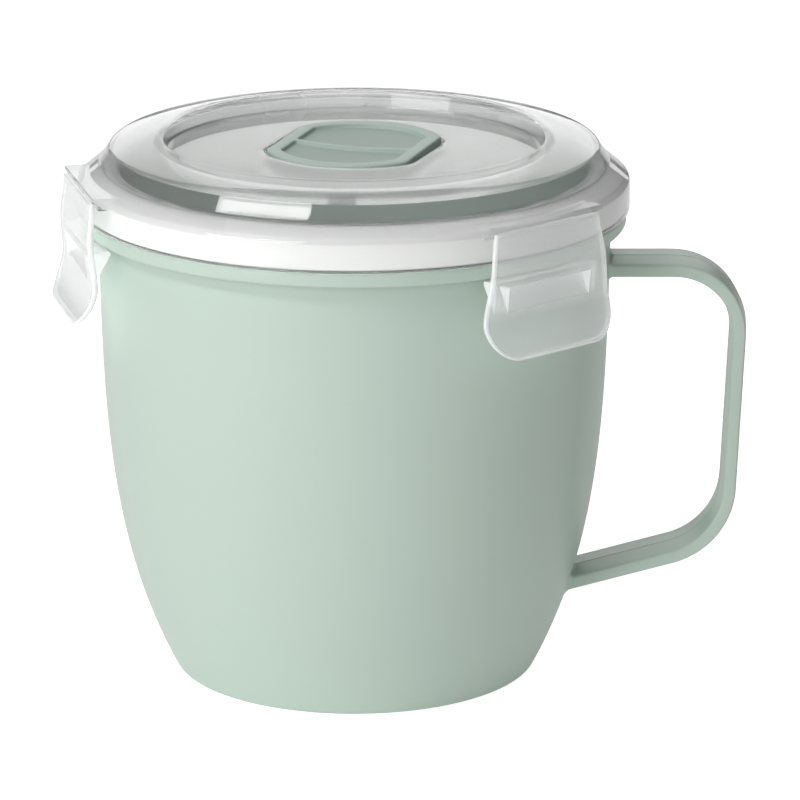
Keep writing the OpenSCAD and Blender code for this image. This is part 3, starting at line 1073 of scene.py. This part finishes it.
@dataclass
class Clip:
    """A swing clip: a bowed plate with round edges that flares to a lip, and a hollow hook behind it."""

    side: str
    turn: float
    hinge_n: float
    hinge_z: float
    thick: float = 1.4 * MM
    top_w: float = 32.0 * MM
    low_w: float = 38.6 * MM
    height: float = 28.3 * MM
    waist: float = 18.7 * MM
    corner: float = 8.0 * MM
    bow: float = 0.7 * MM
    flare: float = 4.0 * MM
    flare_power: float = 1.5
    hook_w: float = 31.0 * MM
    hook_top: float = 107.3 * MM
    hook_low: float = 100.5 * MM
    hook_tip: float = 61.0 * MM
    hook_ledge: float = 1.2 * MM
    hook_wall: float = 1.2 * MM
    hook_end: float = 3.0 * MM
    hook_lead: float = 0.2 * MM
    hook_drop: float = 0.7 * MM
    hook_round: float = 0.3 * MM
    hook_root: float = 0.6 * MM

    @property
    def place(self) -> Matrix:
        """The clip's turn about the lid's axis."""
        return Matrix.Rotation(self.turn, 4, "Z")

    @property
    def across(self) -> Matrix:
        """A plane square to the hinge's axis: x away from the lid's axis, y up."""
        return self.place @ Matrix(((1, 0, 0, 0), (0, 0, -1, 0), (0, 1, 0, 0), (0, 0, 0, 1)))

    def out(self, depth: float) -> float:
        """Distance of the plate's middle from the hinge's plane at a depth below the hinge.

        Args:
            depth: The depth.

        Returns:
            The distance, outwards.
        """
        if depth < self.waist:
            return self.bow * math.sin(math.pi * max(depth, 0.0) / self.waist) ** 2
        return self.flare * ((depth - self.waist) / (self.height - self.waist)) ** self.flare_power

    def rows(self) -> list[tuple[float, float]]:
        """List the depth and half width of the plate's rows, inside its round edge.

        Returns:
            The rows, from the hinge down.
        """
        steps, round_steps = 28, 10
        edge = self.thick / 2
        straight = self.height - self.corner
        rows = []
        for step in range(steps + 1):
            depth = straight * step / steps
            half = (self.top_w + (self.low_w - self.top_w) * depth / straight) / 2
            rows.append((depth, half - edge))
        middle, reach = self.low_w / 2 - self.corner, self.corner - edge
        for step in range(1, round_steps + 1):
            angle = math.pi / 2 * step / round_steps
            rows.append((straight + reach * math.sin(angle), middle + reach * math.cos(angle)))
        return rows

    def spot(self, across: float, depth: float, off: float) -> Vector:
        """Give the place of a point of the plate.

        Args:
            across: Distance from the clip's middle.
            depth: Depth below the hinge.
            off: Distance outwards from the plate's middle surface.

        Returns:
            The point.
        """
        return self.place @ Vector((self.hinge_n + self.out(depth) + off, across, self.hinge_z - depth))

    def plate(self, columns: int = 24) -> Skin:
        """Build the bowed plate with its round edge.

        Args:
            columns: Number of steps across it.

        Returns:
            The plate's skin, with its edge in the second material.
        """
        skin = Skin()
        edge = self.thick / 2
        rows = self.rows()
        shares = [2 * step / columns - 1 for step in range(columns + 1)]
        sheets = []
        for off in (edge, -edge):
            grid = [skin.row(self.spot(half * s, depth, off) for s in shares) for depth, half in rows]
            for first, second in zip(grid, grid[1:]):
                skin.bridge(first, second, closed=False)
            sheets.append(grid)
        rim = [(s * rows[0][1], rows[0][0]) for s in shares]
        rim += [(half, depth) for depth, half in rows[1:]]
        rim += [(s * rows[-1][1], rows[-1][0]) for s in reversed(shares[:-1])]
        rim += [(-half, depth) for depth, half in reversed(rows[1:-1])]
        skin.second_from = len(skin.faces)
        loops = []
        for grid in sheets:
            loop = list(grid[0]) + [row[-1] for row in grid[1:]]
            loop += list(reversed(grid[-1][:-1])) + [row[0] for row in reversed(grid[1:-1])]
            loops.append(loop)
        ways = []
        for index, point in enumerate(rim):
            after, before = Vector(rim[(index + 1) % len(rim)]), Vector(rim[index - 1])
            tangents = [(after - Vector(point)).normalized(), (Vector(point) - before).normalized()]
            along = (tangents[0] + tangents[1]).normalized()
            ways.append(Vector((along.y, -along.x)))
        steps = 6
        rings = [loops[0]]
        for step in range(1, steps):
            angle = math.pi * (0.5 - step / steps)
            grow, off = edge * math.cos(angle), edge * math.sin(angle)
            rings.append(skin.row(
                self.spot(x + way.x * grow, depth + way.y * grow, off)
                for (x, depth), way in zip(rim, ways)
            ))
        rings.append(loops[1])
        for first, second in zip(rings, rings[1:]):
            skin.bridge(first, second)
        return skin

    def build(self, face: bpy.types.Material, edge: bpy.types.Material) -> bpy.types.Object:
        """Build the clip: plate, hook and the hollow behind the hook.

        Args:
            face: Material of its broad faces.
            edge: Material of its round edge and its hook, where the plastic is seen along its depth.

        Returns:
            The clip.
        """
        piece = self.plate().solid(f"{self.side}_clip", face, edge)
        inner = self.hinge_n - self.thick / 2
        hook = rounded([
            Corner(self.hinge_n, self.hook_top),
            Corner(self.hook_tip, self.hook_top, self.hook_round),
            Corner(self.hook_tip - self.hook_lead, self.hook_top - self.hook_drop, self.hook_round),
            Corner(inner, self.hook_low, self.hook_root),
            Corner(self.hinge_n, self.hook_low),
        ], steps=4)
        slope = (inner - self.hook_tip) / (self.hook_top - self.hook_low - self.hook_drop)
        top = self.hook_top - self.hook_ledge
        deep = self.hook_tip + self.hook_wall + slope * (self.hook_ledge - self.hook_drop)
        front = self.hinge_n + self.thick + self.bow
        pocket = rounded([
            Corner(deep, top, self.hook_round),
            Corner(deep + slope * (top - self.hook_low), self.hook_low),
            Corner(front, self.hook_low),
            Corner(front, top),
        ], steps=4)
        half = self.hook_w / 2
        for section, side, join in ((hook, half, Join.ADD), (pocket, half - self.hook_end, Join.CUT)):
            tool = Skin(second_from=0).prism(section, -side, side, self.across)
            work(piece, tool, join, face, edge)
        smooth(piece, angle=38)
        return piece

    def dress(self, face: bpy.types.Material, edge: bpy.types.Material) -> None:
        """Build the clip and put it in its place."""
        fit(self.build(face, edge), f"clip_{self.side}", f"clip_{self.side}", "clip_plastic")


@dataclass
class Lid:
    """The lid: skirt, shoulder, dome, crest, sunken panel, sealing wall and the sealing ring."""

    vent: Vent
    clips: list[Clip]
    lid_r: float = 64.0 * MM
    lid_z: float = 111.1 * MM
    skirt_t: float = 1.7 * MM
    skirt_round: float = 1.2 * MM
    skirt_corner_z: float = 118.1 * MM
    skirt_foot: float = 0.4 * MM
    edge_z: float = 119.0 * MM
    dome_r: float = 59.3 * MM
    dome_z: float = 121.9 * MM
    dome_round: float = 0.8 * MM
    ring: tuple[float, float] = (57.1 * MM, 125.3 * MM)
    ring_corner: tuple[float, float] = (56.7 * MM, 126.0 * MM)
    ring_end: tuple[float, float] = (55.6 * MM, 126.3 * MM)
    slope_corner: tuple[float, float] = (50.9 * MM, 127.47 * MM)
    crest_start: tuple[float, float] = (46.2 * MM, 127.8 * MM)
    crest_corner: tuple[float, float] = (45.0 * MM, 128.2 * MM)
    crest_end: tuple[float, float] = (44.2 * MM, 127.5 * MM)
    panel_r: float = 43.6 * MM
    panel_z: float = 124.3 * MM
    panel_round: float = 0.7 * MM
    panel_crown: float = 1.1 * MM
    thick: float = 1.6 * MM
    ring_thick: float = 1.13 * MM
    under_round: float = 0.8 * MM
    ring_under_round: float = 2.0 * MM
    boss_blend: float = 40.0 * MM
    boss_r: float = 25.1 * MM
    boss_z: float = 122.04 * MM
    gutter_r: float = 58.4 * MM
    gutter_z: float = 120.5 * MM
    gutter_round: float = 0.4 * MM
    wall_low: float = 113.0 * MM
    wall_round: float = 0.7 * MM
    wall_root: float = 0.5 * MM
    groove_in: float = 56.2 * MM
    groove_out: float = 62.3 * MM
    groove_z: float = 120.1 * MM
    groove_bend: float = 59.3 * MM
    groove_low: float = 118.5 * MM
    groove_round: float = 0.3 * MM
    seal_under: float = 117.5 * MM
    seal_leg: float = 1.5 * MM
    seal_round: float = 0.5 * MM
    seal_wet: float = 0.15 * MM
    seal_low: float = 111.3 * MM
    pocket_z: float = 123.139 * MM
    pocket_fit: float = 0.4 * MM
    finger_gap: float = 0.8 * MM
    pocket_edge: float = 1.0 * MM
    pin_fit: float = 0.06 * MM
    bead_seat: float = 0.9 * MM
    tab_w: float = 34.0 * MM
    tab_t: float = 1.2 * MM
    tab_drop: float = 0.8 * MM
    tab_gap: float = 1.0 * MM
    tab_over: float = 0.2 * MM
    tab_round: float = 0.8 * MM
    tab_low_round: float = 0.3 * MM
    tab_edge: float = 0.15 * MM
    tab_bury: float = 0.4 * MM

    def panel_top(self, radius: float) -> float:
        """Height of the crowned panel at a distance from the lid's axis."""
        return self.panel_z + self.panel_crown * (1 - (radius / (self.panel_r - self.panel_round)) ** 2)

    def outline(self) -> list[Vector]:
        """Draw the half section: up the skirt, over the dome to the panel, and back underneath.

        Returns:
            The outline's points.
        """
        chords = 16
        under = self.panel_z - self.thick
        flat_r = self.panel_r - self.panel_round
        crown = [flat_r * step / chords for step in range(chords - 1, -1, -1)]
        ring, ring_end = Vector(self.ring), Vector(self.ring_end)
        crest, crest_end = Vector(self.crest_start), Vector(self.crest_end)
        panel = Vector((self.panel_r, self.panel_z))
        panel_wall = Vector((self.panel_r, self.panel_z + self.panel_round))
        panel_edge = Vector((flat_r, self.panel_z))
        wall_in = self.groove_in - self.skirt_t
        corners = [
            Corner(self.groove_out, self.lid_z, self.groove_round),
            Corner(self.lid_r, self.lid_z, self.skirt_foot),
            Corner(self.lid_r, self.skirt_corner_z, self.skirt_round),
            Corner(self.dome_r, self.dome_z, self.dome_round),
            *curve(ring, Vector(self.ring_corner), ring_end),
            *curve(ring_end, Vector(self.slope_corner), crest)[1:-1],
            *curve(crest, Vector(self.crest_corner), crest_end),
            *curve(panel_wall, panel, panel_edge, steps=5),
            *[Corner(radius, self.panel_top(radius)) for radius in crown],
            Corner(0.0, self.boss_z),
            Corner(self.boss_r, self.boss_z, self.boss_blend),
            Corner(self.panel_r + self.thick / 2, under, self.under_round),
            Corner(crest.x, crest_end.y - self.thick, self.under_round),
            Corner(ring_end.x, ring_end.y - self.thick, self.ring_under_round),
            Corner(ring.x - self.ring_thick, ring.y - self.ring_thick, self.under_round),
            Corner(self.gutter_r, self.gutter_z, self.gutter_round),
            Corner(wall_in, self.gutter_z, self.wall_root),
            Corner(wall_in, self.wall_low, self.wall_round),
            Corner(self.groove_in, self.wall_low, self.wall_round),
            Corner(self.groove_in, self.groove_z, self.groove_round),
            Corner(self.groove_bend, self.groove_z),
            Corner(self.groove_out, self.groove_low, self.groove_round),
        ]
        return rounded(corners, steps=6)

    def tab(self, clip: Clip) -> bpy.types.Object:
        """Build the tab of the shoulder that carries a clip's hinge.

        Args:
            clip: The clip.

        Returns:
            The tab, without what would stand inside the lid.
        """
        low, top = clip.hinge_z - self.tab_drop, self.edge_z + self.tab_t
        inner, outer = clip.hinge_n - self.tab_gap, clip.hinge_n + self.tab_over
        root = self.gutter_r - SPARE
        tab = rounded([
            Corner(root, low),
            Corner(inner, low, self.tab_low_round),
            Corner(inner, clip.hinge_z),
            Corner(outer, self.edge_z + self.tab_over, self.tab_edge),
            Corner(outer, top, self.tab_round),
            Corner(root, top),
        ], steps=6)
        half = self.tab_w / 2
        piece = Skin().prism(tab, -half, half, clip.across).solid("tab")
        seat = circle(self.bead_seat, Vector((clip.hinge_n, clip.hinge_z)))
        work(piece, Skin().prism(seat, -self.tab_w, self.tab_w, clip.across), Join.CUT)
        core_r = self.lid_r - self.skirt_t / 2
        core = [Vector(point) for point in (
            (0.0, 0.0),
            (core_r, 0.0),
            (core_r, self.skirt_corner_z),
            (self.dome_r, self.groove_z + self.tab_bury),
            (self.dome_r, self.ring[1]),
            (0.0, self.ring[1]),
        )]
        work(piece, Skin().revolve(core), Join.CUT)
        return piece

    def pocket(self) -> bpy.types.Object:
        """Build the tool that cuts the flap's pocket, with its bevelled edge.

        Returns:
            The tool.
        """
        vent, edge = self.vent, self.pocket_edge
        brim = self.panel_top(vent.radius)
        near, middle = 0.13 * edge, 0.5 * edge
        levels = []
        for grow, level in (
            (0.0, self.pocket_z),
            (0.0, brim - edge),
            (near, brim - middle),
            (middle, brim - near),
            (edge, brim),
            (edge, brim + SPARE),
        ):
            radius = vent.radius + self.pocket_fit + grow
            side = vent.outline(radius, vent.half_flats + self.finger_gap + grow, vent.corner + grow)
            levels.append((side, level))
        return Skin().loft(levels, vent.place).solid("pocket")

    def shell(self) -> bpy.types.Object:
        """Build the clear shell with its tabs, flap pocket, steam hole and bores for the hinge pin.

        Returns:
            The shell.
        """
        vent = self.vent
        piece = Skin().revolve(self.outline(), segments=256).solid("lid_moulding")
        for clip in self.clips:
            work(piece, self.tab(clip), Join.ADD)
        work(piece, self.pocket(), Join.CUT)
        above = self.panel_z + 2 * SPARE
        half = vent.tongue_w / 2 + vent.hinge_gap
        end = vent.axis_out + vent.knuckle_r + vent.hinge_gap
        notch = [Vector(point) for point in ((-half, 0.0), (half, 0.0), (half, end), (-half, end))]
        hole = circle(vent.steam_r, Vector((0.0, -vent.steam_offset)))
        bore = circle(vent.pin_r + self.pin_fit, Vector((vent.axis_out, vent.axis_z)))
        bore_half = vent.pin_length / 2 + vent.hinge_gap
        for section, low, high, place in (
            (notch, self.pocket_z, above, vent.place),
            (hole, self.boss_z - SPARE, above, vent.place),
            (bore, -bore_half, bore_half, vent.across),
        ):
            work(piece, Skin().prism(section, low, high, place), Join.CUT)
        smooth(piece, angle=30)
        return piece

    def seal(self) -> bpy.types.Object:
        """Build the sealing ring with its leg behind the skirt, pressed wet against the shell.

        Returns:
            The ring.
        """
        inner, outer = self.groove_in - self.seal_wet, self.groove_out + self.seal_wet
        leg = outer - self.seal_leg
        piece = Skin().revolve(rounded([
            Corner(inner, self.seal_under, self.seal_round),
            Corner(leg, self.seal_under, self.seal_round),
            Corner(leg, self.seal_low, self.seal_round),
            Corner(outer, self.seal_low, self.seal_round),
            Corner(outer, self.groove_low + self.seal_wet, self.seal_round),
            Corner(self.groove_bend, self.groove_z + self.seal_wet),
            Corner(inner, self.groove_z + self.seal_wet, self.groove_round),
        ]), segments=256).solid("sealing_ring")
        smooth(piece, angle=40)
        return piece

    def dress(self, shell: bpy.types.Material, seal: bpy.types.Material) -> None:
        """Build the shell and the sealing ring and put them in their places."""
        fit(self.shell(), "lid_shell", "lid", "clear_plastic", shell)
        fit(self.seal(), "lid_gasket", "lid", "white_silicone", seal)


@dataclass(frozen=True)
class Softbox:
    """A softbox that faces the mug and is not seen by the camera.

    Attributes:
        name: The lamp's name.
        way: Direction from the mug to the lamp.
        across: Direction of its width.
        distance: How far it stands from the middle of the lid.
        size: Its width and height.
        radiance: Its brightness.
    """

    name: str
    way: tuple[float, float, float]
    across: tuple[float, float, float]
    distance: float
    size: tuple[float, float]
    radiance: float

    def build(self, aim: Vector) -> None:
        """Make the lamp and turn it to the place that it aims at.

        Args:
            aim: That place.
        """
        data = bpy.data.lights.new(self.name, "AREA")
        data.shape = "RECTANGLE"
        data.size, data.size_y = self.size
        data.energy = self.radiance * math.pi * self.size[0] * self.size[1]
        lamp = bpy.data.objects.new(self.name, data)
        back = Vector(self.way).normalized()
        up = back.cross(Vector(self.across)).normalized()
        lamp.location = aim + back * self.distance
        lamp.rotation_euler = Matrix((up.cross(back), up, back)).transposed().to_euler()
        lamp.visible_camera = False
        bpy.context.scene.collection.objects.link(lamp)


@dataclass
class Studio:
    """The floor, the softboxes, the sky and the camera."""

    floor_half: float = 6.0
    sky: Rgb = (0.06, 0.06, 0.06)
    aim: tuple[float, float, float] = (0.0, 0.0, 0.1)
    camera_place: tuple[float, float, float] = (0.0106, -1.2095, 0.4140)
    camera_tilt: float = math.radians(73.845)
    lens: float = 241.03
    sensor: float = 36.0
    farthest: float = 50.0

    def floor(self) -> None:
        """Lay the floor."""
        skin = Skin()
        skin.faces.append(skin.row(point.to_3d() for point in square(self.floor_half)))
        floor = skin.solid("studio_floor")
        floor.data.materials.append(FloorFinish().material())

    def lights(self) -> None:
        """Set up the softboxes and the sky."""
        for box in (
            Softbox(
                "front_left_softbox", (-0.649, -0.721, 0.242), (0.743, -0.669, 0.0), 1.6, (1.1, 0.8), 4.05
            ),
            Softbox("front_fill", (0.25, -0.94, 0.22), (0.966, 0.259, 0.0), 2.2, (1.6, 1.2), 0.72),
            Softbox(
                "high_left_softbox", (-0.543, -0.461, 0.702), (0.77, -0.63, 0.19), 1.5, (0.97, 0.22), 10.0
            ),
            Softbox("ceiling", (0.05, 0.10, 1.0), (1.0, 0.0, 0.0), 1.8, (2.2, 2.2), 0.8),
            Softbox("back_wall", (0.0, 0.943, 0.334), (1.0, 0.0, 0.0), 2.2, (1.7, 1.3), 1.2),
        ):
            box.build(Vector(self.aim))
        world = bpy.data.worlds.new("studio_sky")
        world.use_nodes = True
        world.node_tree.nodes["Background"].inputs["Color"].default_value = (*self.sky, 1.0)
        bpy.context.scene.world = world

    def camera(self) -> None:
        """Set up the camera."""
        data = bpy.data.cameras.new("studio_camera")
        data.lens = self.lens
        data.sensor_width = self.sensor
        data.clip_end = self.farthest
        camera = bpy.data.objects.new("studio_camera", data)
        camera.location = self.camera_place
        camera.rotation_euler = (self.camera_tilt, 0.0, 0.0)
        bpy.context.scene.collection.objects.link(camera)
        bpy.context.scene.camera = camera

    def build(self) -> None:
        """Build the studio."""
        bpy.context.scene.view_settings.view_transform = "Standard"
        self.floor()
        self.lights()
        self.camera()


def hinge(frame: Mapping[str, Any], name: str) -> Vector:
    """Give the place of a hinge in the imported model."""
    return Vector(next(joint["pos_m"] for joint in frame["joints"] if joint["name"] == name))


def main() -> None:
    """Build, dress and light the mug."""
    logging.basicConfig(level=logging.INFO, format="%(message)s")
    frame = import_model()

    mint = MouldedFinish(
        "mint_plastic_gloss",
        color=(0.525, 0.63, 0.557),
        deep_color=(0.51, 0.612, 0.54),
        speck_color=(0.42, 0.5, 0.44),
        roughness=0.33,
    ).material()
    vent_mint = MouldedFinish(
        "vent_plastic_matt",
        color=(0.49, 0.6, 0.545),
        deep_color=(0.475, 0.58, 0.525),
        speck_color=(0.42, 0.51, 0.465),
        roughness=0.42,
    ).material()
    # Painted shade: the flap's two hollows take a darker tone of its plastic, with a rougher finish.
    vent_hollow_shade = MouldedFinish(
        "vent_hollow_matt_painted_shade",
        color=(0.42, 0.51, 0.465),
        deep_color=(0.405, 0.49, 0.45),
        speck_color=(0.35, 0.43, 0.39),
        roughness=0.5,
    ).material()
    white = MouldedFinish(
        "white_silicone_matt",
        color=(0.82, 0.82, 0.81),
        deep_color=(0.8, 0.8, 0.79),
        speck_color=(0.76, 0.76, 0.75),
        roughness=0.5,
    ).material()
    skirt_z, shoulder_z = 117.6 * MM, 121.9 * MM
    clear = ClearFinish(
        "clear_lid_plastic",
        tint=(0.95, 0.96, 0.955),
        clear=0.93,
        roughness=0.25,
        gloss=0.02,
        lamp_share=0.2,
        lamp_steps=((shoulder_z, 0.3), (skirt_z, 0.72)),
        # Painted shade: the band between these heights is tinted darker, dimming the seal seen through
        # the shoulder.
        thick=(skirt_z, shoulder_z),
    ).material()
    milky, milky_edge = (
        ClearFinish(
            name, tint=(0.985, 0.998, 0.995), clear=share, roughness=0.1, gloss=0.08, lamp_share=0.9
        ).material()
        for name, share in (("milky_clip_plastic", 0.71), ("milky_clip_edge", 0.35))
    )

    vent_axis = hinge(frame, "vent_hinge")
    vent = Vent(
        turn=math.atan2(vent_axis.y, vent_axis.x) - math.pi / 2,
        axis_out=math.hypot(vent_axis.x, vent_axis.y),
        axis_z=vent_axis.z,
    )
    clips = []
    for side in ("front", "left", "back"):
        axis = hinge(frame, f"clip_{side}_hinge")
        clips.append(Clip(side, math.atan2(axis.y, axis.x), math.hypot(axis.x, axis.y), axis.z))

    Mug().dress(mint)
    Lid(vent, clips).dress(clear, white)
    for clip in clips:
        clip.dress(milky, milky_edge)
    vent.dress(vent_mint, vent_hollow_shade, white)
    Studio().build()


if __name__ == "__main__":
    main()
